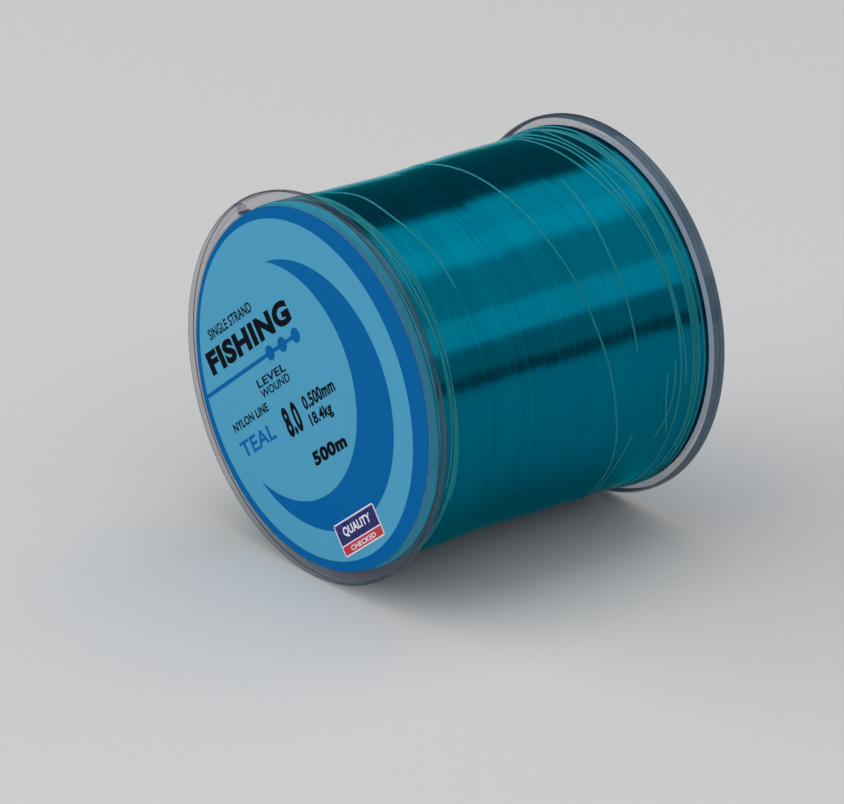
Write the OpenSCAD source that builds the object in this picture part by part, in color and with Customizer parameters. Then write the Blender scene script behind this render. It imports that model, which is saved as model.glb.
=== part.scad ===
// Fishing line spool, lying on its two rims.
// +Y runs along the spool's axis from the front label to the rear, +X is to the right as the
// label is read, +Z is up, and the origin is the middle of the spool.

/* [Spool] */
// Outside diameter of the two rims
spool_d = 70; // [66:0.5:80]
// Overall length from rim face to rim face
spool_len = 65; // [55:0.5:75]
// Outside diameter of the barrel that the line is wound on
barrel_d = 40.8; // [38:0.2:46]
// Wall thickness of the barrel
barrel_wall = 2; // [1.5:0.1:3]
// Bore of the spindle tube
bore_d = 10; // [8:0.5:11]
// Wall thickness of the spindle tube
tube_wall = 1; // [0.8:0.1:1.2]

/* [Flanges] */
// Thickness of a flange at its rim
flange_t = 2.4; // [2.2:0.1:3.4]
// Width of the full-diameter land at the outer face
land_w = 1.4; // [1:0.1:1.7]
// Rounding of the rim's outer edge
rim_round = 0.5; // [0.3:0.1:0.8]
// How much the rim's radius tapers from the land to the inner face
rim_taper = 0.5; // [0.3:0.1:1.2]
// Width of the bare rim around the label seat
rim_w = 2.45; // [2.2:0.05:3.2]
// Depth of the label seat below the rim face
seat_depth = 0.2; // [0.15:0.05:0.4]
// Angle of the line slit in the front rim, seen from the front
front_slit_angle = 126; // [0:1:359]
// Angle of the line slit in the rear rim, seen from the front
rear_slit_angle = 216; // [0:1:359]
// Width of a line slit
slit_w = 0.6; // [0.56:0.02:0.9]
// Length of the spigots that enter the barrel
spigot_len = 6; // [4:0.5:10]
// Number of ribs between a flange's boss and its spigot
rib_count = 6; // [3:1:8]

/* [Labels] */
// Thickness of the label paper
label_t = 0.12; // [0.08:0.01:0.15]
// Gap between a label's edge and its seat
label_gap = 0.15; // [0.05:0.05:0.4]
// Angle by which the front label is turned, seen from the front
label_turn = 37.5; // [0:0.5:359]
// Width of the seal sticker
sticker_w = 13.5; // [8:0.5:18]
// Height of the seal sticker
sticker_h = 6; // [4:0.1:8]
// Distance of the sticker's middle below the label's middle
sticker_out = 25.5; // [20:0.1:26]
// Distance of the sticker's middle to the left of the label's middle
sticker_side = 2.4; // [-6:0.1:6]
// Thickness of the sticker
sticker_t = 0.08; // [0.05:0.01:0.1]

/* [Line] */
// Diameter of the line
line_d = 0.5; // [0.4:0.02:0.54]
// Mean radius of the wound line
wound_r = 32.3; // [30:0.1:32.4]
// Bulge of the winding beside the rear flange
rear_swell = 1; // [0:0.1:1]
// Bulge of the winding beside the front flange
front_swell = 0.5; // [0:0.1:0.5]
// Length of the tape over the line's inner end
tape_len = 14; // [8:1:20]

/* [Hidden] */
$fn = 96;

spool_r = spool_d / 2;
barrel_r = barrel_d / 2;
bore_r = bore_d / 2;
tube_r = bore_r + tube_wall;
line_r = line_d / 2;
seat_r = spool_r - rim_w;
label_r = seat_r - label_gap;
wound_w = spool_len - 2 * flange_t;
glue_gap = 0.1;
spigot_wall = 1.5;
boss_wall = 1.8;
rib_t = 1.2;
boss_r = tube_r + glue_gap + boss_wall;
spigot_r = barrel_r - barrel_wall - glue_gap;
rear_hole_r = tube_r + 1;
tape_t = 0.06;
tape_angle = 40;
tape_inset = 5;
start_inset = 3;
start_len = tape_len + 4;
end_inset = 0.4;
end_arc = 26;
end_bend = 0.6;
end_r = wound_r + front_swell + line_r + 0.02;
start_angle = 90;

// Heights along the axis, counted from the middle towards the front
front_face = spool_len / 2;
front_seat = front_face - seat_depth;
front_inner = front_face - flange_t;

// The winding's outline: how far its radius is above the mean at a fraction of its width,
// counted from the front
WINDING = [[0, front_swell], [0.05, 0.3], [0.12, 0.2], [0.25, 0], [0.4, -0.2], [0.55, 0.1],
           [0.7, 0.3], [0.85, 0.3], [0.93, 0.55 * rear_swell], [1, rear_swell]];

// Turns a shape so that its own +Z becomes the way out of the front label
module facing_front() { rotate([90, 0, 0]) children(); }

// Turns a shape so that its own +Z becomes the way out of the rear
module facing_rear() { rotate([-90, 0, 0]) children(); }

module ring(outer, inner, h) {
    difference() {
        cylinder(r = outer, h = h);
        translate([0, 0, -1]) cylinder(r = inner, h = h + 2);
    }
}

// Outline of a flange from its inner face at 0 to its outer face, seen from the hole out
module flange_outline() {
    hole = tube_r + glue_gap;
    floor_z = flange_t - seat_depth;
    bend_r = spool_r - rim_round;
    bend_z = flange_t - rim_round;
    polygon(concat(
        [[hole, 0], [spool_r - rim_taper, 0], [spool_r, flange_t - land_w]],
        [for (a = [0:15:90]) [bend_r + rim_round * cos(a), bend_z + rim_round * sin(a)]],
        [[seat_r, flange_t], [seat_r, floor_z], [hole, floor_z]]
    ));
}

// One flange moulding, its inner face at 0, its spigot, boss and ribs below, its slit at an angle
module flange(slit_angle) {
    difference() {
        union() {
            rotate_extrude($fn = 144) flange_outline();
            translate([0, 0, -spigot_len]) ring(spigot_r, spigot_r - spigot_wall, spigot_len + 0.5);
            translate([0, 0, -spigot_len]) ring(boss_r, tube_r + glue_gap, spigot_len + 0.5);
            for (i = [0:rib_count - 1]) rotate([0, 0, i * 360 / rib_count])
                translate([boss_r - 0.5, -rib_t / 2, 1 - spigot_len])
                    cube([spigot_r - spigot_wall - boss_r + 1, rib_t, spigot_len - 0.5]);
        }
        rotate([0, 0, slit_angle]) translate([seat_r + 0.1, -slit_w / 2, -1])
            cube([rim_w + 1, slit_w, flange_t + 2]);
    }
}

module front_flange() {
    color([0.78, 0.86, 0.88]) facing_front() translate([0, 0, front_inner]) flange(front_slit_angle);
}

module rear_flange() {
    color([0.78, 0.86, 0.88]) facing_rear() translate([0, 0, front_inner]) flange(-rear_slit_angle);
}

module barrel() {
    color([0.9, 0.93, 0.94]) facing_front() translate([0, 0, -front_inner])
        ring(barrel_r, barrel_r - barrel_wall, wound_w);
}

// The tube that takes the spindle, flush with both label seats
module spindle_tube() {
    color([0.85, 0.9, 0.92]) facing_front() translate([0, 0, -front_seat])
        ring(tube_r, bore_r, 2 * front_seat);
}

module front_label() {
    color([0.31, 0.61, 0.75]) facing_front() translate([0, 0, front_seat])
        cylinder(r = label_r, h = label_t, $fn = 144);
}

module rear_label() {
    color([0.31, 0.61, 0.75]) facing_rear() translate([0, 0, front_seat])
        rotate_extrude($fn = 144) translate([rear_hole_r, 0]) square([label_r - rear_hole_r, label_t]);
}

module seal_sticker() {
    color([0.18, 0.16, 0.43]) facing_front() rotate([0, 0, label_turn])
        translate([-sticker_side - sticker_w / 2, -sticker_out - sticker_h / 2, front_seat + label_t])
            cube([sticker_w, sticker_h, sticker_t]);
}

// The line's inner end, laid along the barrel
module line_start() {
    color([0, 0.45, 0.52]) facing_front() rotate([0, 0, start_angle])
        translate([barrel_r + line_r, 0, front_inner - start_inset - start_len])
            cylinder(r = line_r, h = start_len, $fn = 16);
}

// A strip of tape over the line's inner end
module tape_strip() {
    rotate([0, 0, start_angle - tape_angle / 2])
        translate([0, 0, front_inner - tape_inset - tape_len])
            rotate_extrude(angle = tape_angle) translate([barrel_r + line_d, 0])
                square([tape_t, tape_len]);
}

module start_tape() {
    color([0.93, 0.93, 0.88]) facing_front() tape_strip();
}

// The whole winding between the flanges, with room for the inner end and its tape
module wound_line() {
    color([0, 0.42, 0.5]) facing_front() difference() {
        rotate_extrude($fn = 144) polygon(concat(
            [for (p = WINDING) [wound_r + p[1], front_inner - p[0] * wound_w]],
            [[barrel_r, -front_inner], [barrel_r, front_inner]]
        ));
        tape_strip();
        rotate([0, 0, start_angle])
            translate([barrel_r - 1, -line_r, front_inner - start_inset - start_len])
                cube([line_d + 1 + tape_t / 2, line_d, start_len]);
    }
}

// The line's outer end: off the last turn, along the winding and forward through the slit
module line_end() {
    color([0, 0.2, 0.3]) facing_front() rotate([0, 0, front_slit_angle]) {
        bend_angle = end_bend / end_r * 180 / PI;
        translate([0, 0, front_inner - end_inset]) rotate([0, 0, bend_angle])
            rotate_extrude(angle = end_arc) translate([end_r, 0]) circle(r = line_r, $fn = 16);
        translate([end_r, end_bend, front_inner - end_inset + end_bend]) rotate([0, 90, 0])
            rotate([0, 0, -90]) rotate_extrude(angle = 90) translate([end_bend, 0])
                circle(r = line_r, $fn = 16);
        translate([end_r, 0, front_inner - end_inset + end_bend])
            cylinder(r = line_r, h = flange_t + end_inset - end_bend - seat_depth, $fn = 16);
    }
}

front_flange();
rear_flange();
barrel();
spindle_tube();
front_label();
rear_label();
seal_sticker();
wound_line();
line_start();
start_tape();
line_end();
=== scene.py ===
"""Looks of a fishing line spool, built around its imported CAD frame. Everything is in metres."""

import math

import bmesh
import bpy
import numpy as np
from mathutils import Matrix, Vector


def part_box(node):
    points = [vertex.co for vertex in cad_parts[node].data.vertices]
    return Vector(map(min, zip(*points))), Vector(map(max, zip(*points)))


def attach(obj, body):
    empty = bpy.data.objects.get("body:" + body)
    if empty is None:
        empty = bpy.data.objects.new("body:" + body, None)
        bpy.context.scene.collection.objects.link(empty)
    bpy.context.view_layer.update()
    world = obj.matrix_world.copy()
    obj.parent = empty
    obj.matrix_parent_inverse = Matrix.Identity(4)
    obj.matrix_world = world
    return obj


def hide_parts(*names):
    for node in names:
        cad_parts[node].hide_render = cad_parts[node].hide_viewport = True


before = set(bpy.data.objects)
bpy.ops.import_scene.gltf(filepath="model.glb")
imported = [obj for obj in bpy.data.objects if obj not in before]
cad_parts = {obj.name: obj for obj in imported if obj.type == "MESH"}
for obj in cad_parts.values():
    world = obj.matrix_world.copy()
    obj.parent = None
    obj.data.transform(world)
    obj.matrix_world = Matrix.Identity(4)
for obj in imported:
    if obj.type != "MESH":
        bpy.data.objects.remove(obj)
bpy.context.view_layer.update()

MM = 0.001

# ---------------------------------------------------------------- camera

VIEW_AZIMUTH = math.radians(50.63)
VIEW_ELEVATION = math.radians(22.52)
VIEW_DISTANCE = 0.7988
VIEW_TARGET = Vector((-0.0007, -0.0068, -0.0092))
LENS_MM = 193.7


def add_camera():
    back = Vector((
        math.sin(VIEW_AZIMUTH) * math.cos(VIEW_ELEVATION),
        -math.cos(VIEW_AZIMUTH) * math.cos(VIEW_ELEVATION),
        math.sin(VIEW_ELEVATION),
    ))
    data = bpy.data.cameras.new("camera")
    data.lens = LENS_MM
    data.sensor_width = 36.0
    data.clip_start = 0.01
    data.clip_end = 20.0
    camera = bpy.data.objects.new("camera", data)
    camera.location = VIEW_TARGET + VIEW_DISTANCE * back
    camera.rotation_euler = back.to_track_quat("Z", "Y").to_euler()
    bpy.context.scene.collection.objects.link(camera)
    bpy.context.scene.camera = camera


add_camera()

# ---------------------------------------------------------------- sizes read from the frame


FLANGE_LOW, FLANGE_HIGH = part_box("front_flange")
LABEL_LOW, LABEL_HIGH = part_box("front_label")
REAR_LABEL_LOW, REAR_LABEL_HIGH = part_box("rear_label")
STICKER_LOW, STICKER_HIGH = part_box("seal_sticker")
WOUND_LOW, WOUND_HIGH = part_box("wound_line")
START_LOW, START_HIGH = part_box("line_start")

RIM_R = FLANGE_HIGH.z
LABEL_R = LABEL_HIGH.z
LABEL_STEPS = 256
TUBE_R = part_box("spindle_tube")[1].z
LINE_R = (START_HIGH.x - START_LOW.x) / 2
FRONT_Y = FLANGE_LOW.y
SEAT_Y = LABEL_HIGH.y
WOUND_FRONT = WOUND_LOW.y
WOUND_BACK = WOUND_HIGH.y
FLOOR_Z = FLANGE_LOW.z

# Flange moulding, in its own radius and height above the inner face
FLANGE_T = WOUND_FRONT - FRONT_Y
SEAT_DEPTH = SEAT_Y - FRONT_Y
SEAT_R = LABEL_R + 0.15 * MM
LAND_W = 1.4 * MM
RIM_ROUND = 0.5 * MM
RIM_TAPER = 0.5 * MM
INNER_ROUND = 0.15 * MM
SPIGOT_LEN = FLANGE_HIGH.y - WOUND_FRONT
SPIGOT_R = 18.3 * MM
SPIGOT_WALL = 1.5 * MM
HUB_HOLE_R = TUBE_R + 0.1 * MM
BOSS_R = HUB_HOLE_R + 1.8 * MM
RIB_COUNT = 6
RIB_T = 1.2 * MM
SLIT_W = 0.6 * MM
FRONT_SLIT = math.radians(126)
REAR_SLIT = math.radians(216)

# The print on the labels is turned by this angle, seen from the front
PRINT_TURN = math.radians(37.5)

# ---------------------------------------------------------------- mesh helpers


def new_object(name, mesh):
    obj = bpy.data.objects.new(name, mesh)
    bpy.context.scene.collection.objects.link(obj)
    return obj


def mesh_from(name, verts, faces, smooth=True):
    mesh = bpy.data.meshes.new(name)
    mesh.from_pydata([tuple(v) for v in verts], [], [tuple(f) for f in faces])
    mesh.validate()
    mesh.update()
    if smooth:
        mesh.shade_smooth()
    return new_object(name, mesh)


def soften_edges(obj, degrees):
    """Smooth shading, with the edges sharper than the angle kept crisp."""
    obj.data.shade_smooth()
    obj.data.set_sharp_from_angle(angle=math.radians(degrees))


def fix_normals(obj):
    shape = bmesh.new()
    shape.from_mesh(obj.data)
    bmesh.ops.recalc_face_normals(shape, faces=shape.faces)
    shape.to_mesh(obj.data)
    shape.free()


def lathe(name, outline, steps=256):
    """A closed outline of (radius, y) turned about the spool's axis."""
    count = len(outline)
    verts = []
    for i in range(steps):
        turn = 2 * math.pi * i / steps
        verts += [(r * math.cos(turn), y, r * math.sin(turn)) for r, y in outline]
    faces = []
    for i in range(steps):
        here, there = i * count, (i + 1) % steps * count
        for k in range(count):
            m = (k + 1) % count
            faces.append((here + k, here + m, there + m, there + k))
    obj = mesh_from(name, verts, faces)
    fix_normals(obj)
    return obj


def box_mesh(bm, low, high, matrix):
    """Adds a box between two corners to a bmesh."""
    made = bmesh.ops.create_cube(bm, size=1.0)["verts"]
    size = Vector(high) - Vector(low)
    middle = (Vector(high) + Vector(low)) / 2
    for v in made:
        v.co = matrix @ (Vector((v.co.x * size.x, v.co.y * size.y, v.co.z * size.z)) + middle)


def apply_boolean(obj, cutter, operation):
    modifier = obj.modifiers.new("cut", "BOOLEAN")
    modifier.object = cutter
    modifier.operation = operation
    modifier.solver = "EXACT"
    graph = bpy.context.evaluated_depsgraph_get()
    result = bpy.data.meshes.new_from_object(obj.evaluated_get(graph))
    obj.modifiers.clear()
    obj.data = result
    bpy.data.objects.remove(cutter)


def around(angle):
    """Turns local +X to a direction round the spool's axis, counted as seen from the front."""
    return Matrix.Rotation(-angle, 4, "Y")


# ---------------------------------------------------------------- node helpers


class Nodes:
    """Short ways to add and join shader nodes in one material."""

    def __init__(self, name):
        self.material = bpy.data.materials.new(name)
        self.material.use_nodes = True
        self.tree = self.material.node_tree
        self.tree.nodes.clear()
        self.out = self.tree.nodes.new("ShaderNodeOutputMaterial")

    def add(self, kind, **settings):
        node = self.tree.nodes.new(kind)
        for key, value in settings.items():
            setattr(node, key, value)
        return node

    def link(self, source, target):
        self.tree.links.new(source, target)

    def put(self, socket, value):
        if isinstance(value, bpy.types.NodeSocket):
            self.link(value, socket)
        else:
            socket.default_value = value

    def math(self, operation, *values, clamp=False):
        node = self.add("ShaderNodeMath", operation=operation, use_clamp=clamp)
        for i, value in enumerate(values):
            self.put(node.inputs[i], value)
        return node.outputs[0]

    def mix(self, factor, a, b):
        node = self.add("ShaderNodeMix", data_type="RGBA")
        self.put(node.inputs["Factor"], factor)
        self.put(node.inputs[6], a)
        self.put(node.inputs[7], b)
        return node.outputs[2]

    def place(self):
        """x, y and z of the surface point, in metres."""
        coordinates = self.add("ShaderNodeTexCoord").outputs["Object"]
        split = self.add("ShaderNodeSeparateXYZ")
        self.link(coordinates, split.inputs[0])
        return split.outputs[0], split.outputs[1], split.outputs[2]

    def distance(self, a, b):
        """The length of a vector given by its two parts."""
        squares = self.math("ADD", self.math("MULTIPLY", a, a), self.math("MULTIPLY", b, b))
        return self.math("SQRT", squares)

    def vector(self, x, y, z):
        node = self.add("ShaderNodeCombineXYZ")
        for socket, value in zip(node.inputs, (x, y, z)):
            self.put(socket, value)
        return node.outputs[0]

    def noise(self, vector, scale, detail=2.0, rough=0.5):
        node = self.add("ShaderNodeTexNoise")
        self.put(node.inputs["Vector"], vector)
        node.inputs["Scale"].default_value = scale
        node.inputs["Detail"].default_value = detail
        node.inputs["Roughness"].default_value = rough
        return node.outputs[0]

    def stretched_noise(self, place, scales):
        """Noise with its own scale along each axis."""
        scaled_place = [self.math("MULTIPLY", part, scale) for part, scale in zip(place, scales)]
        return self.noise(self.vector(*scaled_place), 1.0, 2.0)

    def spread(self, value, low, high, to_low, to_high):
        """A value mapped from one range to another, held at the ends."""
        node = self.add("ShaderNodeMapRange")
        for i, v in enumerate((value, low, high, to_low, to_high)):
            self.put(node.inputs[i], v)
        return node.outputs[0]

    def bump(self, height, distance, strength=1.0):
        node = self.add("ShaderNodeBump")
        node.inputs["Strength"].default_value = strength
        node.inputs["Distance"].default_value = distance
        self.link(height, node.inputs["Height"])
        return node.outputs[0]

    def highest(self, *values):
        top = values[0]
        for value in values[1:]:
            top = self.math("MAXIMUM", top, value)
        return top

    def principled(self, **values):
        node = self.add("ShaderNodeBsdfPrincipled")
        for name, value in values.items():
            self.put(node.inputs[name.replace("_", " ")], value)
        return node

    def finish(self, shader):
        self.link(shader.outputs[0], self.out.inputs["Surface"])
        return self.material


def colour(r, g, b):
    """A display colour of 0 to 255 as a linear RGBA value."""
    linear = []
    for value in (r, g, b):
        share = value / 255
        linear.append(((share + 0.055) / 1.055) ** 2.4 if value > 10 else share / 12.92)
    return (*linear, 1.0)


def scaled(tint, factor):
    return (*(factor * v for v in tint[:3]), 1)


# ---------------------------------------------------------------- materials


def nylon_material(name, dark, light, rough):
    """Teal monofilament: a deep tinted gloss, a little different from strand to strand."""
    n = Nodes(name)
    x, y, z = n.place()
    strand_noise = n.stretched_noise((x, y, z), (14.0, 1400.0, 14.0))
    patch_noise = n.stretched_noise((x, y, z), (30.0, 90.0, 30.0))
    tone = n.math("ADD", n.math("MULTIPLY", strand_noise, 0.7), n.math("MULTIPLY", patch_noise, 0.3))
    tint = n.mix(n.spread(tone, 0.3, 0.7, 0.0, 1.0), dark, light)
    shader = n.principled(Base_Color=tint, Metallic=1.0, Specular_Tint=(0.0, 0.9, 1.0, 1),
                          Roughness=n.spread(strand_noise, 0.3, 0.7, rough, 1.5 * rough))
    return n.finish(shader)


def loose_nylon_material():
    """A single strand that stands clear of the others, so it scatters more light."""
    n = Nodes("loose_teal_nylon")
    x, y, z = n.place()
    cloud = n.noise(n.vector(x, y, z), 200.0, 3.0)
    tint = n.mix(cloud, (0.006, 0.20, 0.25, 1), (0.014, 0.28, 0.33, 1))
    return n.finish(n.principled(Base_Color=tint, Roughness=n.spread(cloud, 0.3, 0.7, 0.25, 0.4),
                                 Metallic=0.3, Specular_Tint=(0.3, 0.9, 1.0, 1)))


def deep_nylon_painted_glow_material():
    """The nylon seen end on, where light soaks through many layers of it; a weak teal painted glow
    stands in for that light.
    """
    n = Nodes("teal_nylon_in_depth_painted_glow")
    x, y, z = n.place()
    cloud = n.noise(n.vector(x, y, z), 300.0, 3.0)
    tint = n.mix(cloud, (0.0, 0.34, 0.46, 1), (0.0, 0.46, 0.60, 1))
    return n.finish(n.principled(Base_Color=tint, Roughness=n.spread(cloud, 0.3, 0.7, 0.3, 0.45),
                                 # Painted glow: a weak teal emission stands in for the light that soaks
                                 # in through the layers
                                 Specular_IOR_Level=0.1, Emission_Color=(0.0, 0.11, 0.16, 1),
                                 Emission_Strength=0.45))


# How much of the clear moulding is seen rather than seen through
FACE_BODY = 0.24
FRONT_RIM_BODY = 0.3
REAR_RIM_BODY = 0.93
GRAZING_BODY = 0.92
# Opacity of the painted dark lines on the rim's edges and round the label seat
PAINTED_EDGE_LINE_BODY = 0.95
PAINTED_SEAT_LINE_BODY = 0.6
SHADOW_SHARE = 0.2

FACE_TINTS = ((0.07, 0.065, 0.12, 1), (0.10, 0.09, 0.16, 1))
RIM_TINT = (0.02, 0.085, 0.145, 1)
# Near-black tint of the painted dark lines that stand in for dark surroundings seen by refraction
PAINTED_REFRACTION_TINT = (0.02, 0.028, 0.045, 1)

# Edges round the rim that get a painted dark line, standing in for dark surroundings seen by
# refraction, as heights above the flange's inner face
RIM_EDGES = (0.08 * MM, FLANGE_T - LAND_W, FLANGE_T - 0.45 * RIM_ROUND)


def painted_rim_edge_lines(n, y):
    """1 on the edges that run round the rim, where a dark line is painted; 0 away from them."""
    height = n.math("SUBTRACT", n.math("ABSOLUTE", y), WOUND_BACK)
    lines = []
    for edge in RIM_EDGES:
        apart = n.math("ABSOLUTE", n.math("SUBTRACT", height, edge))
        lines.append(n.spread(apart, 0.05 * MM, 0.15 * MM, 1.0, 0.0))
    return n.highest(*lines)


def clear_material(name, rim_body):
    """Clear moulded polystyrene: nearly clear face on, slate along its rim, with dark lines painted on
    its edges, round the label seat and at grazing angles, standing in for dark surroundings seen by
    refraction.
    """
    n = Nodes(name)
    x, y, z = n.place()
    cloud = n.noise(n.vector(x, y, z), 120.0, 2.0)
    radius = n.distance(x, z)
    turned = n.add("ShaderNodeLayerWeight")
    turned.inputs["Blend"].default_value = 0.35
    grazing = n.spread(turned.outputs["Facing"], 0.32, 0.64, 0.0, 1.0)
    taper_r = RIM_R - RIM_TAPER
    rim = n.spread(radius, taper_r - 0.08 * MM, taper_r + 0.02 * MM, 0.0, 1.0)
    painted_edge_line = n.math("MULTIPLY", painted_rim_edge_lines(n, y), rim)
    from_seat = n.math("ABSOLUTE", n.math("SUBTRACT", radius, SEAT_R))
    painted_seat_line = n.spread(from_seat, 0.0, 0.16 * MM, 0.8, 0.0)
    tint = n.mix(cloud, *FACE_TINTS)
    tint = n.mix(rim, tint, RIM_TINT)
    # Painted shade: the rim's edges, the seat's edge and grazing angles are tinted near black and made
    # more opaque, standing in for the dark surroundings seen by refraction
    tint = n.mix(n.highest(grazing, painted_seat_line, painted_edge_line), tint, PAINTED_REFRACTION_TINT)
    body = n.highest(n.math("MULTIPLY", rim, rim_body), n.math("MULTIPLY", grazing, GRAZING_BODY),
                     n.math("MULTIPLY", painted_edge_line, PAINTED_EDGE_LINE_BODY),
                     n.math("MULTIPLY", painted_seat_line, PAINTED_SEAT_LINE_BODY), FACE_BODY)
    shadow = n.add("ShaderNodeLightPath").outputs["Is Shadow Ray"]
    body = n.math("MULTIPLY", body, n.spread(shadow, 0.0, 1.0, 1.0, SHADOW_SHARE))
    return n.finish(n.principled(Base_Color=tint, Roughness=n.spread(cloud, 0.3, 0.7, 0.04, 0.08),
                                 Specular_IOR_Level=0.5, Alpha=body))


def core_plastic_material():
    n = Nodes("hub_polystyrene")
    x, y, z = n.place()
    cloud = n.noise(n.vector(x, y, z), 180.0, 3.0)
    tint = n.mix(cloud, (0.62, 0.68, 0.70, 1), (0.78, 0.83, 0.85, 1))
    return n.finish(n.principled(Base_Color=tint, Roughness=n.spread(cloud, 0.3, 0.7, 0.25, 0.4),
                                 Normal=n.bump(cloud, 0.00003, 0.3)))


def tape_material():
    n = Nodes("adhesive_tape")
    x, y, z = n.place()
    crinkle = n.noise(n.vector(x, y, z), 900.0, 3.0)
    tint = n.mix(crinkle, (0.72, 0.70, 0.60, 1), (0.86, 0.85, 0.78, 1))
    return n.finish(n.principled(Base_Color=tint, Roughness=0.35, Normal=n.bump(crinkle, 0.00003, 0.5)))


LIGHT_BLUE = colour(82, 162, 198)
DARK_BLUE = colour(0, 97, 163)
SPECK_BLUE = (0.02, 0.32, 0.5, 1)
INK_NAVY = colour(1, 7, 18)
PRINT_EDGE = 0.06 * MM

# The paper side of a label, and a painted glow on it that stands in for the light the clear moulding
# carries to it
LABEL_BACK = (0.72, 0.72, 0.80, 1)
LABEL_BACK_PAINTED_GLOW = (0.28, 0.28, 0.32, 1)


def print_axes(n, x, z):
    """How far a point lies along the print's lines and across them."""
    turn_cos, turn_sin = math.cos(PRINT_TURN), math.sin(PRINT_TURN)
    along = n.math("ADD", n.math("MULTIPLY", x, turn_cos), n.math("MULTIPLY", z, turn_sin))
    across = n.math("SUBTRACT", n.math("MULTIPLY", z, turn_cos), n.math("MULTIPLY", x, turn_sin))
    return along, across


def label_material(name, shapes, face_y, back_y):
    """Glossy film print: a light field, with dark shapes given as masks of the print's own axes."""
    n = Nodes(name)
    x, y, z = n.place()
    mask = shapes(n, *print_axes(n, x, z))
    grain = n.noise(n.vector(x, y, z), 2500.0, 2.0)
    cloud = n.noise(n.vector(x, y, z), 60.0, 2.0)
    light = n.mix(cloud, scaled(LIGHT_BLUE, 0.96), scaled(LIGHT_BLUE, 1.04))
    printed = n.mix(mask, light, DARK_BLUE)
    speckled = n.mix(n.spread(grain, 0.35, 0.65, 0.0, 0.06), printed, SPECK_BLUE)
    on_face = n.math("GREATER_THAN", n.spread(y, back_y, face_y, 0.0, 1.0), 0.3)
    tint = n.mix(on_face, LABEL_BACK, speckled)
    # Painted glow on the label's back only, standing in for light carried in by the clear moulding; the
    # printed face does not glow
    painted_back_glow = n.mix(on_face, LABEL_BACK_PAINTED_GLOW, (0, 0, 0, 1))
    shader = n.principled(Base_Color=tint, Roughness=n.spread(grain, 0.3, 0.7, 0.34, 0.44),
                          Emission_Color=painted_back_glow, Emission_Strength=1.0,
                          Specular_IOR_Level=0.02, Normal=n.bump(cloud, 0.00006, 0.3))
    return n.finish(shader)


def inside(n, distance, radius):
    """1 within a radius, 0 beyond it, soft over the width of a print edge."""
    return n.spread(distance, radius - PRINT_EDGE / 2, radius + PRINT_EDGE / 2, 1.0, 0.0)


def distance_to(n, along, across, centre):
    return n.distance(n.math("SUBTRACT", along, centre[0]), n.math("SUBTRACT", across, centre[1]))


RING_INNER = LABEL_R - 1.75 * MM
COLLAR_R = TUBE_R + 3.2 * MM
FIELD_MIDDLE = (-1.7 * MM, 0.45 * MM)
FIELD_HALF = (29.25 * MM, 30.55 * MM)
CRESCENT_MIDDLE = (-1.7 * MM, -0.5 * MM)
CRESCENT_R = 24.1 * MM
BITE_MIDDLE = (-7.3 * MM, 4.2 * MM)
BITE_R = 21.4 * MM
RULE_ACROSS = 9.4 * MM
RULE_HALF = 0.36 * MM
RULE_END = 2.5 * MM
DOTS = [(-6.6 * MM, RULE_ACROSS), (-2.2 * MM, RULE_ACROSS), (RULE_END, RULE_ACROSS)]
DOT_R = 1.35 * MM


def front_shapes(n, along, across):
    """A border round a slightly oval field, a crescent, and a rule that ends in three dots."""
    stretch = FIELD_HALF[1] / FIELD_HALF[0]
    oval = distance_to(n, n.math("MULTIPLY", along, stretch), across,
                       (FIELD_MIDDLE[0] * stretch, FIELD_MIDDLE[1]))
    border = n.math("SUBTRACT", 1.0, inside(n, oval, FIELD_HALF[1]))
    bite = inside(n, distance_to(n, along, across, BITE_MIDDLE), BITE_R)
    disc = inside(n, distance_to(n, along, across, CRESCENT_MIDDLE), CRESCENT_R)
    crescent = n.math("MULTIPLY", disc, n.math("SUBTRACT", 1.0, bite))
    level = n.math("ABSOLUTE", n.math("SUBTRACT", across, RULE_ACROSS))
    rule = n.math("MULTIPLY", inside(n, level, RULE_HALF), inside(n, along, RULE_END))
    dots = [inside(n, distance_to(n, along, across, dot), DOT_R) for dot in DOTS]
    return n.highest(border, crescent, rule, *dots)


def rear_shapes(n, along, across):
    """A border ring and a plain collar round the spindle hole."""
    radius = distance_to(n, along, across, (0, 0))
    ring = n.math("SUBTRACT", 1.0, inside(n, radius, RING_INNER))
    return n.highest(ring, inside(n, radius, COLLAR_R))


def ink_material(name, tint):
    n = Nodes(name)
    x, y, z = n.place()
    grain = n.noise(n.vector(x, y, z), 3000.0, 2.0)
    lighter = (*(min(1.0, 1.2 * v + 0.001) for v in tint[:3]), 1)
    return n.finish(n.principled(Base_Color=n.mix(grain, tint, lighter), Roughness=0.4,
                                 Specular_IOR_Level=0.03))


STICKER_NAVY = colour(10, 16, 100)
STICKER_RED = colour(192, 38, 52)
STICKER_WHITE = colour(226, 222, 236)
STICKER_SPECK = (0.6, 0.6, 0.66, 1)
STICKER_EDGE = 0.28 * MM
# Height of the line between navy and red, as a share of the sticker's height from its middle
STICKER_SPLIT = -0.17


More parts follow.
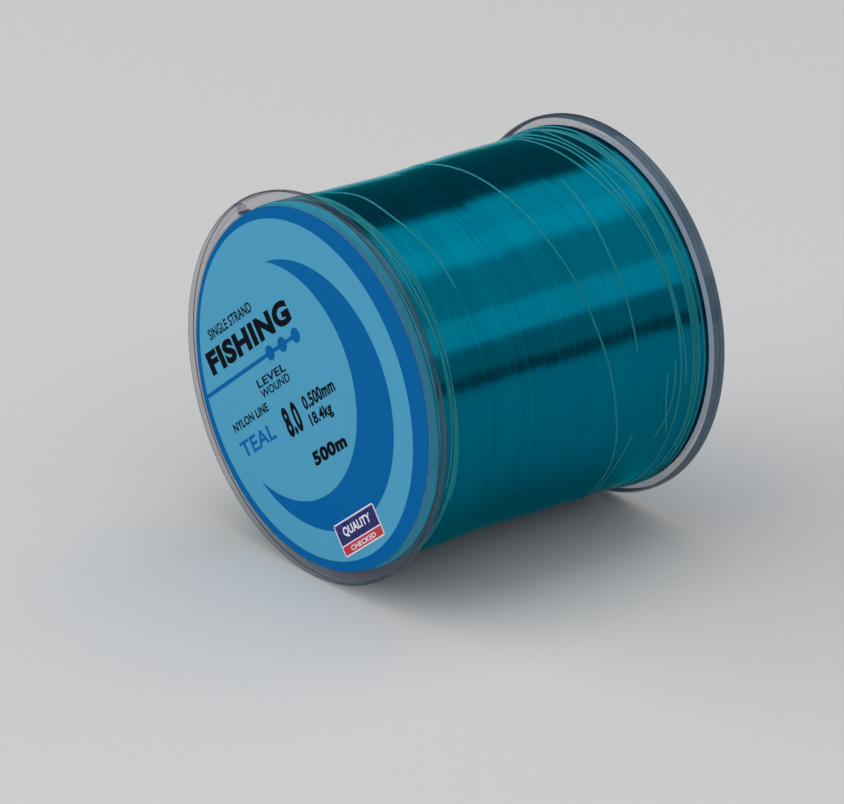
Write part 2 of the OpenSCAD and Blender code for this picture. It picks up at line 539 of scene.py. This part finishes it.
def sticker_material(middle, width, height):
    """Navy over red with a thin white edge, in the sticker's own axes."""
    n = Nodes("sticker_print")
    x, y, z = n.place()
    along, across = print_axes(n, x, z)
    side = n.math("ABSOLUTE", n.math("SUBTRACT", along, middle[0]))
    rise = n.math("SUBTRACT", across, middle[1])
    field = n.math("MULTIPLY", inside(n, side, width / 2 - STICKER_EDGE),
                   inside(n, n.math("ABSOLUTE", rise), height / 2 - STICKER_EDGE))
    split = STICKER_SPLIT * height
    lower = inside(n, rise, split)
    band = n.math("ABSOLUTE", n.math("SUBTRACT", rise, split))
    grain = n.noise(n.vector(x, y, z), 2500.0, 2.0)
    tint = n.mix(lower, STICKER_NAVY, STICKER_RED)
    tint = n.mix(inside(n, band, 0.11 * MM), tint, STICKER_WHITE)
    tint = n.mix(field, STICKER_WHITE, tint)
    tint = n.mix(n.spread(grain, 0.35, 0.65, 0.0, 0.08), tint, STICKER_SPECK)
    return n.finish(n.principled(Base_Color=tint, Roughness=n.spread(grain, 0.3, 0.7, 0.3, 0.4),
                                 Specular_IOR_Level=0.08))


def floor_material():
    n = Nodes("studio_floor")
    x, y, z = n.place()
    fleck = n.noise(n.vector(x, y, z), 400.0, 3.0)
    tint = n.mix(fleck, (0.73, 0.73, 0.73, 1), (0.76, 0.76, 0.76, 1))
    return n.finish(n.principled(Base_Color=tint, Roughness=0.85, Normal=n.bump(fleck, 0.0001, 0.1)))


NYLON = nylon_material("teal_nylon", (0.0, 0.14, 0.22, 1), (0.0, 0.19, 0.285, 1), 0.105)
LOOSE_NYLON = loose_nylon_material()
NYLON_IN_DEPTH_PAINTED_GLOW = deep_nylon_painted_glow_material()
FRONT_CLEAR = clear_material("clear_polystyrene_front", FRONT_RIM_BODY)
REAR_CLEAR = clear_material("clear_polystyrene_rear", REAR_RIM_BODY)

# ---------------------------------------------------------------- pieces


def finish_piece(obj, material, slot_name, *replaced):
    obj.data.materials.clear()
    obj.data.materials.append(material)
    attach(obj, "root")
    if replaced:
        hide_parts(*replaced)
    return obj


def flange_outline(inner_y, out):
    """The moulding's section; out is -1 at the front and +1 at the rear."""
    section = [
        (HUB_HOLE_R, -SPIGOT_LEN), (BOSS_R, -SPIGOT_LEN), (BOSS_R, 0.0),
        (SPIGOT_R - SPIGOT_WALL, 0.0), (SPIGOT_R - SPIGOT_WALL, -SPIGOT_LEN),
        (SPIGOT_R, -SPIGOT_LEN), (SPIGOT_R, 0.0), (RIM_R - RIM_TAPER - INNER_ROUND, 0.0),
        (RIM_R - RIM_TAPER, INNER_ROUND), (RIM_R, FLANGE_T - LAND_W),
    ]
    for step in range(9):
        turn = math.radians(90 * step / 8)
        section.append((RIM_R - RIM_ROUND * (1 - math.cos(turn)),
                        FLANGE_T - RIM_ROUND * (1 - math.sin(turn))))
    section += [(SEAT_R + 0.1 * MM, FLANGE_T), (SEAT_R, FLANGE_T - 0.1 * MM),
                (SEAT_R, FLANGE_T - SEAT_DEPTH), (HUB_HOLE_R, FLANGE_T - SEAT_DEPTH)]
    return [(r, inner_y + out * h) for r, h in section]


def add_flange(name, node, inner_y, out, slit, material):
    flange = lathe(name, flange_outline(inner_y, out), 288)
    ribs = bmesh.new()
    for i in range(RIB_COUNT):
        reach = sorted((inner_y - out * (SPIGOT_LEN - MM), inner_y + out * 0.5 * MM))
        box_mesh(ribs, (BOSS_R - 0.5 * MM, reach[0], -RIB_T / 2),
                 (SPIGOT_R - SPIGOT_WALL + 0.5 * MM, reach[1], RIB_T / 2),
                 around(2 * math.pi * i / RIB_COUNT))
    rib_mesh = bpy.data.meshes.new("ribs")
    ribs.to_mesh(rib_mesh)
    ribs.free()
    apply_boolean(flange, new_object("ribs", rib_mesh), "UNION")
    slot = bmesh.new()
    reach = sorted((inner_y - out * MM, inner_y + out * (FLANGE_T + MM)))
    box_mesh(slot, (SEAT_R + 0.1 * MM, reach[0], -SLIT_W / 2), (RIM_R + MM, reach[1], SLIT_W / 2),
             around(slit))
    slot_mesh = bpy.data.meshes.new("slot")
    slot.to_mesh(slot_mesh)
    slot.free()
    apply_boolean(flange, new_object("slot", slot_mesh), "DIFFERENCE")
    soften_edges(flange, 35)
    return finish_piece(flange, material, "clear_plastic", node)


def wound_outline():
    """(y, radius) of the winding's outline, read from the CAD node."""
    widest = {}
    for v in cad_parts["wound_line"].data.vertices:
        place = round(v.co.y, 5)
        widest[place] = max(widest.get(place, 0.0), math.hypot(v.co.x, v.co.z))
    rows = [(y, r) for y, r in sorted(widest.items()) if r > 0.9 * LABEL_R]
    return np.array(rows)


OUTLINE = wound_outline()


def wound_radius(y):
    return np.interp(y, OUTLINE[:, 0], OUTLINE[:, 1])


# Corners of a strand's section, in degrees from its outermost point; closest where it is seen
STRAND_CORNERS = np.radians([0, 22, 45, 90, 180, 270, 315, 338])


def strand(angle, y, radius, line_r):
    """A strand along points given by angle round the axis, place along it and centre radius."""
    sides = len(STRAND_CORNERS)
    count = len(angle)
    r = radius[:, None] + line_r * np.cos(STRAND_CORNERS)[None, :]
    along = y[:, None] + line_r * np.sin(STRAND_CORNERS)[None, :]
    verts = np.stack([r * np.cos(angle)[:, None], along, r * np.sin(angle)[:, None]], -1)
    verts = verts.reshape(-1, 3)
    i = np.arange(count - 1)[:, None] * sides
    k = np.arange(sides)[None, :]
    m = (k + 1) % sides
    faces = np.stack([i + k, i + m, i + sides + m, i + sides + k], -1).reshape(-1, 4)
    caps = [tuple(range(sides))[::-1], tuple(range((count - 1) * sides, count * sides))]
    return verts, [tuple(f) for f in faces.tolist()] + caps


PITCH = 2 * LINE_R
TURN_STEPS = 96
STEPS_PER_STRAND = 8
# Depth of the furrows between strands as they show: light soaks through the real, deeper ones
FURROW = 0.010 * MM
# How far strands stand above each other, as a share of a furrow
STRAND_LIFT = 0.15
# How far strands wander sideways, as a share of the pitch, and the knots of that wander
WANDER = 0.12
WANDER_AROUND = 4
WANDER_ALONG = 58.9
WINDING_SEED = 11
WINDING_HUB_R = SPIGOT_R + 2.1 * MM


def wander_between(knots, along, around_axis):
    """A grid of knots read between its points; along and around_axis count in knots."""
    k, m = along.astype(int), around_axis.astype(int)
    part_k, part_m = along - k, around_axis - m
    here = knots[m, k] * (1 - part_k) + knots[m, k + 1] * part_k
    next_round = knots[m + 1, k] * (1 - part_k) + knots[m + 1, k + 1] * part_k
    return here * (1 - part_m) + next_round * part_m


def winding_relief(place, share):
    """Height of the skin over the winding's outline; share is the part of a turn, 0 to 1."""
    rng = np.random.default_rng(WINDING_SEED)
    knots = rng.normal(0, 1, (WANDER_AROUND + 1, 60))
    knots[-1] = knots[0]
    length_share = (place - WOUND_FRONT) / (WOUND_BACK - WOUND_FRONT)
    wander = wander_between(knots, WANDER_ALONG * length_share, WANDER_AROUND * share)
    strand_place = place / PITCH - share + WANDER * wander
    lift = rng.normal(0, 1, 400)[np.floor(strand_place).astype(int) % 400]
    return FURROW * (np.abs(np.sin(np.pi * strand_place)) - 1 + STRAND_LIFT * lift)


def ring_at(radius, y):
    turns = 2 * np.pi * np.arange(TURN_STEPS) / TURN_STEPS
    return [(radius * math.cos(turn), y, radius * math.sin(turn)) for turn in turns]


def add_winding():
    """The wound line as one closed body, ridged along the helix of its outermost turns."""
    rows = int((WOUND_BACK - WOUND_FRONT) / PITCH * STEPS_PER_STRAND)
    steps_along = np.linspace(WOUND_FRONT, WOUND_BACK, rows + 1)
    place, share = np.meshgrid(steps_along, np.arange(TURN_STEPS) / TURN_STEPS)
    radius = wound_radius(place) + winding_relief(place, share)
    turn = 2 * np.pi * share
    skin = np.stack([radius * np.cos(turn), place, radius * np.sin(turn)], -1)
    verts = skin.reshape(-1, 3).tolist()
    front = len(verts)
    back = front + TURN_STEPS
    verts += ring_at(WINDING_HUB_R, WOUND_FRONT) + ring_at(WINDING_HUB_R, WOUND_BACK)
    faces = []
    for i in range(TURN_STEPS):
        n = (i + 1) % TURN_STEPS
        here, there = i * (rows + 1), n * (rows + 1)
        faces += [(here + j, here + j + 1, there + j + 1, there + j) for j in range(rows)]
        faces.append((here, there, front + n, front + i))
        faces.append((here + rows, back + i, back + n, there + rows))
        faces.append((front + i, front + n, back + n, back + i))
    obj = mesh_from("line_winding", verts, faces)
    fix_normals(obj)
    soften_edges(obj, 50)
    return obj


END_DEPTH = 0.06 * MM
END_LAYERS = 8


def add_winding_end(name, y, out):
    """The side of the winding, seen through a flange: the outermost layers as rings of strand."""
    top = float(wound_radius(y)) - 0.5 * LINE_R
    rows = []
    for layer in range(END_LAYERS):
        centre = top - LINE_R * (2 * layer + 1)
        for step in range(5):
            turn = math.pi * step / 5
            rows.append((centre + LINE_R * math.cos(turn), y + out * END_DEPTH * math.sin(turn)))
    bottom = top - 2 * LINE_R * END_LAYERS
    back = y - out * 3 * END_DEPTH
    rows += [(bottom, y), (bottom, back), (top, back)]
    return finish_piece(lathe(name, rows), NYLON_IN_DEPTH_PAINTED_GLOW, "nylon_line")


# Loose strands over the winding, as (angle round the axis in degrees, place along it in mm)
STRAYS = [
    [(120, 0.6), (95, 1.4), (73, 2.1), (60, 2.8), (50, 3.3), (40, 4.4), (32, 5.1), (26, 5.5),
     (18, 6.3), (10, 7.4), (0, 8.4), (-13, 10.0), (-22, 11.3), (-35, 12.4), (-45, 12.9), (-70, 13.4)],
    [(120, -24.6), (104, -22.8), (95, -20.4), (85, -20.6), (76, -21.0), (68, -20.4), (56, -19.4),
     (40, -19.2)],
    [(125, -28.6), (100, -28.0), (80, -27.4), (73, -26.4), (64, -27.6), (48, -28.4), (30, -27.2),
     (8, -27.0)],
    [(75, 14.9), (62, 14.7), (50, 14.2), (40, 13.8), (25, 13.9), (5, 14.3)],
    [(112, 21.2), (92, 20.5), (80, 20.6), (68, 20.9), (50, 22.4), (28, 23.6), (0, 24.0)],
    [(118, 23.6), (102, 21.8), (88, 22.6), (75, 22.9), (60, 22.5), (46, 23.4), (20, 24.2), (-10, 25.6)],
    [(112, 27.6), (95, 25.2), (85, 24.6), (72, 24.9), (58, 26.6), (35, 27.6), (5, 27.9)],
    [(8, 22.6), (-2, 22.9), (-10, 22.7), (-17, 22.0), (-22, 21.2), (-30, 20.2)],
    [(4, 21.2), (-6, 20.9), (-14, 21.4), (-20, 22.6), (-28, 24.4)],
    [(-14, 15.4), (-25, 14.1), (-34, 13.6), (-48, 14.4), (-66, 15.6)],
    [(200, -6.0), (180, -4.2), (165, -1.0), (150, 0.4), (130, 0.9)],
]
# Height of a stray's centre over the winding, along it and where its ends dive in
STRAY_REST = -0.45 * LINE_R
STRAY_DIVE = -1.3 * LINE_R
STRAY_DIP_DEG = 10.0
STRAY_STEP_DEG = 1.5
STRAY_SEED = 5
# Loops heaped beside each flange: place of their middle and width in mm, and their number
REAR_PILE = (WOUND_BACK / MM - 3.2, 5.0, 6)
FRONT_PILE = (WOUND_FRONT / MM + 2.8, 4.4, 5)


def stray_path(knots):
    """Angle, place and centre radius along one loose strand; both ends dive between the turns."""
    knots = np.array(sorted(knots))
    degrees = np.arange(knots[0, 0], knots[-1, 0], STRAY_STEP_DEG)
    place = np.interp(degrees, knots[:, 0], knots[:, 1])
    reach = 4
    window = np.ones(2 * reach + 1) / (2 * reach + 1)
    place = np.convolve(np.pad(place, reach, mode="edge"), window, mode="valid") * MM
    to_end = np.minimum(degrees - degrees[0], degrees[-1] - degrees)
    rise = np.clip(to_end / STRAY_DIP_DEG, 0, 1)
    rise = rise * rise * (3 - 2 * rise)
    radius = wound_radius(place) + STRAY_REST * rise + STRAY_DIVE * (1 - rise)
    return np.radians(degrees), place, radius


def pile_knots(rng, middle, width, count):
    """Loose loops heaped beside a flange."""
    loops = []
    for _ in range(count):
        start = rng.uniform(-180, 0)
        degrees = np.arange(start, start + rng.uniform(200, 340), 18.0)
        base = middle + rng.uniform(-width, width) / 2
        drift = np.cumsum(rng.normal(0, 0.22, len(degrees)))
        places = np.clip(base + drift, middle - 0.62 * width, middle + 0.62 * width)
        loops.append(list(zip(degrees, places)))
    return loops


def add_strays():
    rng = np.random.default_rng(STRAY_SEED)
    paths = STRAYS + pile_knots(rng, *REAR_PILE) + pile_knots(rng, *FRONT_PILE)
    verts, faces = [], []
    for knots in paths:
        more, sides = strand(*stray_path(knots), LINE_R)
        faces += [tuple(i + len(verts) for i in face) for face in sides]
        verts += more.tolist()
    obj = mesh_from("line_strays", verts, faces)
    fix_normals(obj)
    return obj


finish_piece(add_winding(), NYLON, "nylon_line", "wound_line")
finish_piece(add_strays(), LOOSE_NYLON, "nylon_line")
add_winding_end("line_front_end", WOUND_FRONT - 2 * END_DEPTH, -1)
add_winding_end("line_rear_end", WOUND_BACK + 2 * END_DEPTH, 1)
add_flange("front_flange_clear", "front_flange", WOUND_FRONT, -1, FRONT_SLIT, FRONT_CLEAR)
add_flange("rear_flange_clear", "rear_flange", WOUND_BACK, 1, REAR_SLIT, REAR_CLEAR)


# Gap that keeps a label's back off its seat
LABEL_LIFT = 0.01 * MM
REAR_HOLE_R = TUBE_R + MM


def closed_disc(name, rows):
    """A disc without a hole: an open outline of (radius, y) turned, with a middle on each face."""
    steps = LABEL_STEPS
    count = len(rows)
    verts = []
    for i in range(steps):
        turn = 2 * math.pi * i / steps
        verts += [(r * math.cos(turn), y, r * math.sin(turn)) for r, y in rows]
    first_middle = len(verts)
    verts += [(0, rows[0][1], 0), (0, rows[-1][1], 0)]
    faces = []
    for i in range(steps):
        here, there = count * i, count * ((i + 1) % steps)
        faces += [(here + k, here + k + 1, there + k + 1, there + k) for k in range(count - 1)]
        faces.append((here, there, first_middle))
        faces.append((here + count - 1, there + count - 1, first_middle + 1))
    disc = mesh_from(name, verts, faces)
    fix_normals(disc)
    return disc


def add_label(name, node, face_y, back_y, hole, material):
    """A disc of film with slightly rolled edges."""
    out = 1 if face_y > back_y else -1
    back_y += out * LABEL_LIFT
    roll = 0.35 * abs(face_y - back_y)
    rows = [(LABEL_R, back_y), (LABEL_R, face_y - out * roll), (LABEL_R - roll, face_y)]
    if hole:
        rows = [(hole, back_y)] + rows + [(hole + roll, face_y), (hole, face_y - out * roll)]
        label = lathe(name, rows, LABEL_STEPS)
    else:
        label = closed_disc(name, rows)
    soften_edges(label, 30)
    return finish_piece(label, material, "label_print", node)


add_label("front_label_print", "front_label", LABEL_LOW.y, LABEL_HIGH.y, 0,
          label_material("front_print", front_shapes, LABEL_LOW.y, LABEL_HIGH.y))
add_label("rear_label_print", "rear_label", REAR_LABEL_HIGH.y, REAR_LABEL_LOW.y, REAR_HOLE_R,
          label_material("rear_print", rear_shapes, REAR_LABEL_HIGH.y, REAR_LABEL_LOW.y))


# Lettering: (words, left, bottom, width and height in mm on the print axes, weight)
FRONT_WORDS = [
    ("SINGLE STRAND", -22.0, 17.4, 15.4, 1.9, 0.02),
    ("FISHING", -25.5, 11.8, 29.0, 4.3, 0.055),
    ("LEVEL", -13.9, 5.2, 9.9, 1.5, 0.02),
    ("WOUND", -13.9, 3.3, 9.9, 1.5, 0.02),
    ("NYLON LINE", -26.0, 1.0, 12.4, 1.6, 0.03),
    ("8.0", -10.7, -5.4, 5.1, 5.5, 0.04),
    ("0.500mm", -3.4, -2.7, 10.7, 2.5, 0.035),
    ("18.4kg", -3.3, -6.3, 7.4, 2.8, 0.035),
    ("500m", -6.9, -12.0, 11.1, 2.5, 0.055),
]
FRONT_BLUE_WORDS = [("TEAL", -26.3, -3.8, 11.8, 2.9, 0.02)]
REAR_WORDS = [
    ("FISHING LINE", -17.0, 15.6, 34.0, 3.4, 0.045),
    ("SINGLE STRAND NYLON", -17.0, 12.0, 34.0, 1.8, 0.015),
    ("8.0", -25.0, -3.0, 10.0, 6.0, 0.025),
    ("0.500mm", 12.0, 0.6, 13.5, 2.6, 0.02),
    ("18.4kg", 12.0, -3.8, 10.5, 3.0, 0.02),
    ("TEAL", -6.0, -14.8, 12.0, 2.6, 0.02),
    ("500m", -8.0, -20.4, 16.0, 3.4, 0.045),
]
PRINT_DEPTH = 0.02 * MM


def letter_mesh(words, left, bottom, width, height, weight):
    """One line of print as a thin mesh in the XY plane, stretched to fill its box."""
    data = bpy.data.curves.new("words", "FONT")
    data.body = words
    data.space_character = 1.0 + 2 * weight
    data.offset = weight
    data.extrude = 0.5
    data.resolution_u = 6
    text = new_object("words", data)
    graph = bpy.context.evaluated_depsgraph_get()
    mesh = bpy.data.meshes.new_from_object(text.evaluated_get(graph))
    bpy.data.objects.remove(text)
    low = Vector([min(v.co[i] for v in mesh.vertices) for i in range(3)])
    high = Vector([max(v.co[i] for v in mesh.vertices) for i in range(3)])
    scale = (width * MM / (high.x - low.x), height * MM / (high.y - low.y), PRINT_DEPTH)
    stretch = Matrix.Diagonal((*scale, 1))
    mesh.transform(stretch @ Matrix.Translation((-low.x, -low.y, 0)))
    mesh.transform(Matrix.Translation((left * MM, bottom * MM, 0)))
    return mesh


def print_to_face(face_y, out):
    """From the print's flat axes to the label's face; the front print is turned."""
    spin = Matrix.Rotation(PRINT_TURN if out < 0 else 0.0, 4, "Z")
    upright = Matrix.Rotation(math.pi / 2, 4, "X")
    around_back = Matrix.Rotation(math.pi if out > 0 else 0.0, 4, "Z")
    lift = Matrix.Translation((0, face_y + out * PRINT_DEPTH / 2, 0))
    return lift @ around_back @ upright @ spin


def add_words(name, lines, face_y, out, material, slot_name):
    joined = bmesh.new()
    for line in lines:
        joined.from_mesh(letter_mesh(*line))
    joined.transform(print_to_face(face_y, out))
    mesh = bpy.data.meshes.new(name)
    joined.to_mesh(mesh)
    joined.free()
    return finish_piece(new_object(name, mesh), material, slot_name)


INK = ink_material("label_ink", INK_NAVY)
add_words("front_lettering", FRONT_WORDS, LABEL_LOW.y, -1, INK, "label_print")
add_words("front_blue_lettering", FRONT_BLUE_WORDS, LABEL_LOW.y, -1,
          ink_material("blue_ink", DARK_BLUE), "label_print")
add_words("rear_lettering", REAR_WORDS, REAR_LABEL_HIGH.y, 1, INK, "label_print")


STICKER_SIZE = (13.5 * MM, 6.0 * MM)
STICKER_MIDDLE = (-2.4 * MM, -25.5 * MM)
STICKER_WORDS = [
    ("QUALITY", -7.0, -25.5, 9.2, 1.9, 0.03),
    ("CHECKED", -6.6, -27.95, 8.4, 0.9, 0.02),
]


def add_sticker():
    sticker = bmesh.new()
    half_w, half_h = STICKER_SIZE[0] / 2, STICKER_SIZE[1] / 2
    turned = Matrix.Rotation(-PRINT_TURN, 4, "Y")
    along, across = STICKER_MIDDLE
    box_mesh(sticker, (along - half_w, STICKER_LOW.y, across - half_h),
             (along + half_w, STICKER_HIGH.y, across + half_h), turned)
    bmesh.ops.bevel(sticker, geom=[e for e in sticker.edges if e.calc_length() < 0.2 * MM],
                    offset=0.25 * MM, segments=3, affect="EDGES")
    mesh = bpy.data.meshes.new("sticker")
    sticker.to_mesh(mesh)
    sticker.free()
    obj = new_object("seal_sticker_print", mesh)
    finish_piece(obj, sticker_material(STICKER_MIDDLE, *STICKER_SIZE), "sticker_print", "seal_sticker")


add_sticker()
add_words("sticker_lettering", STICKER_WORDS, STICKER_LOW.y, -1,
          ink_material("sticker_ink", STICKER_WHITE), "sticker_print")


def dress_cad(node, material):
    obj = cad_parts[node]
    obj.data.materials.clear()
    obj.data.materials.append(material)


dress_cad("barrel", core_plastic_material())
dress_cad("spindle_tube", REAR_CLEAR)
dress_cad("line_start", NYLON)
dress_cad("start_tape", tape_material())
dress_cad("line_end", NYLON)

# ---------------------------------------------------------------- stage and light


FLOOR_HALF = 4.0


def add_floor():
    square = [(-FLOOR_HALF, -FLOOR_HALF), (FLOOR_HALF, -FLOOR_HALF), (FLOOR_HALF, FLOOR_HALF),
              (-FLOOR_HALF, FLOOR_HALF)]
    verts = [(x, y, FLOOR_Z) for x, y in square]
    floor = mesh_from("floor", verts, [(0, 1, 2, 3)], smooth=False)
    floor.data.materials.append(floor_material())


# Boxes along the spool: (name, bearing, distance, (width, length), brightness). The bearing runs
# in degrees from +X round to +Z, and each box gives one band of the winding's reflection.
SOFTBOXES = [
    ("overhead", 95, 1.2, (0.95, 3.6), 0.38),
    ("crown", 84, 1.2, (0.3, 3.6), 0.18),
    ("side", 34, 1.4, (0.44, 3.6), 0.34),
    ("skirt", 16, 1.4, (0.45, 3.6), 0.26),
    ("fill", 70, 1.3, (2.7, 3.6), 0.5),
]
# How far the boxes' middles lie behind the spool's
SOFTBOX_SHIFT = 0.7
FRONT_BOX_PLACE = Vector((-0.85, -1.15, 0.65))
FRONT_BOX_SIZE = (2.8, 1.25)
FRONT_BOX_BRIGHTNESS = 1.85
WORLD_COLOUR = (0.14, 0.14, 0.145, 1)


def area_lamp(name, size, brightness):
    data = bpy.data.lights.new(name, "AREA")
    data.shape = "RECTANGLE"
    data.size, data.size_y = size
    data.energy = brightness * size[0] * size[1] * math.pi
    lamp = bpy.data.objects.new(name, data)
    bpy.context.scene.collection.objects.link(lamp)
    return lamp


def add_softbox(name, bearing, distance, size, brightness):
    """A soft box beside the spool, long along its axis and turned towards it."""
    lamp = area_lamp(name, size, brightness)
    turn = math.radians(bearing)
    across = Vector((math.cos(turn), 0, math.sin(turn)))
    lamp.location = distance * across + Vector((0, SOFTBOX_SHIFT, 0))
    lamp.rotation_euler = (0, math.pi / 2 - turn, 0)


def add_front_box():
    """A low soft box ahead of the front label."""
    lamp = area_lamp("front", FRONT_BOX_SIZE, FRONT_BOX_BRIGHTNESS)
    lamp.location = FRONT_BOX_PLACE
    lamp.rotation_euler = FRONT_BOX_PLACE.to_track_quat("Z", "Y").to_euler()


def add_world():
    world = bpy.data.worlds.new("studio")
    world.use_nodes = True
    world.node_tree.nodes["Background"].inputs["Color"].default_value = WORLD_COLOUR
    bpy.context.scene.world = world


add_floor()
add_world()
for softbox in SOFTBOXES:
    add_softbox(*softbox)
add_front_box()

bpy.context.scene.view_settings.view_transform = "Standard"
